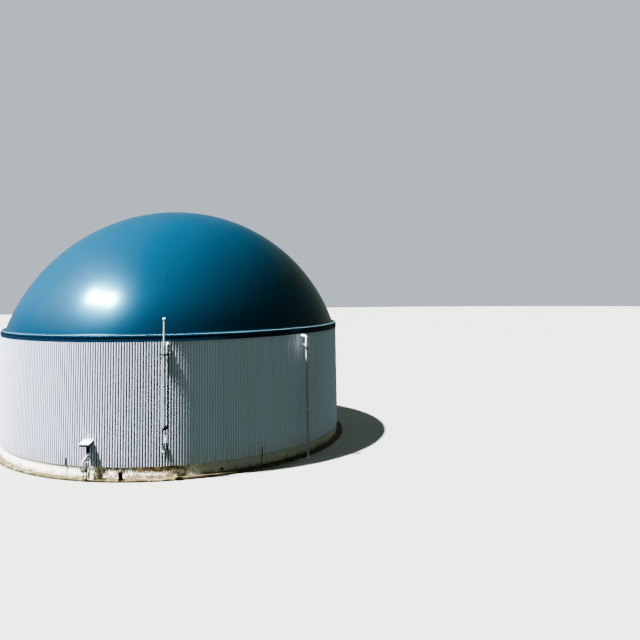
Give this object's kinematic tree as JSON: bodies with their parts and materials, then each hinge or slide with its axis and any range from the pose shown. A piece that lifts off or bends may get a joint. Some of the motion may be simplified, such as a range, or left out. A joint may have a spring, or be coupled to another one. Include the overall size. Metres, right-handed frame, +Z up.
{
  "type": "biogas digester",
  "caption": "Round concrete digester tank in ribbed metal cladding under an air-held teal membrane dome, with relief pot, vent mast, gas outlet pipe and support-air set.",
  "frame": {"origin": "on the tank's axis, at ground level under the floor slab", "axes": "+Z up, -Y towards the pictured front, +X to the right seen from the front"},
  "size_m": [21.9408, 22.0016, 14.5],
  "materials": {
    "concrete": "cast concrete, pale, soil-stained at the foot",
    "cladding_sheet": "pale grey coated trapezoidal steel sheet, upright ribs",
    "edge_band": "near-black teal clamped membrane edge",
    "membrane": "glossy coated fabric membrane, dark teal",
    "galvanised_pipe": "galvanised, dull",
    "white_pipe": "white coated, satin",
    "dark_fitting": "dark grey coated, matt",
    "box_paint": "grey-green painted, matt",
    "brown_plastic": "dark brown plastic pipe"
  },
  "bodies": {
    "root": {"floor_slab": "concrete", "tank_wall_1": "concrete", "tank_wall_2": "concrete", "tank_wall_3": "concrete", "tank_wall_4": "concrete", "tank_wall_5": "concrete", "tank_wall_6": "concrete", "tank_wall_7": "concrete", "tank_wall_8": "concrete", "cladding_bay_1": "cladding_sheet", "cladding_bay_2": "cladding_sheet", "cladding_bay_3": "cladding_sheet", "cladding_bay_4": "cladding_sheet", "edge_band_1": "edge_band", "edge_band_2": "edge_band", "edge_band_3": "edge_band", "edge_band_4": "edge_band", "dome_membrane": "membrane", "vent_mast": "galvanised_pipe", "vent_cap": "white_pipe", "relief_inlet_pipe": "galvanised_pipe", "upper_pipe_bracket": "galvanised_pipe", "relief_header": "dark_fitting", "relief_riser": "white_pipe", "relief_pot_cone": "dark_fitting", "relief_pot": "galvanised_pipe", "relief_pot_bracket": "galvanised_pipe", "gas_outlet_flange": "galvanised_pipe", "gas_outlet_elbow": "white_pipe", "gas_down_pipe": "white_pipe", "gas_pipe_coupling": "galvanised_pipe", "gas_foot_flange": "galvanised_pipe", "gas_pipe_clamp_upper": "galvanised_pipe", "gas_pipe_clamp_lower": "galvanised_pipe", "rain_hood": "white_pipe", "intake_neck": "dark_fitting", "air_duct": "white_pipe", "service_box": "box_paint", "service_box_stand": "dark_fitting", "valve_box": "white_pipe", "wall_branch_pipe": "white_pipe", "inspection_pipe": "brown_plastic", "inspection_cap": "brown_plastic", "earthing_strap": "galvanised_pipe"}
  },
  "joints": []
}
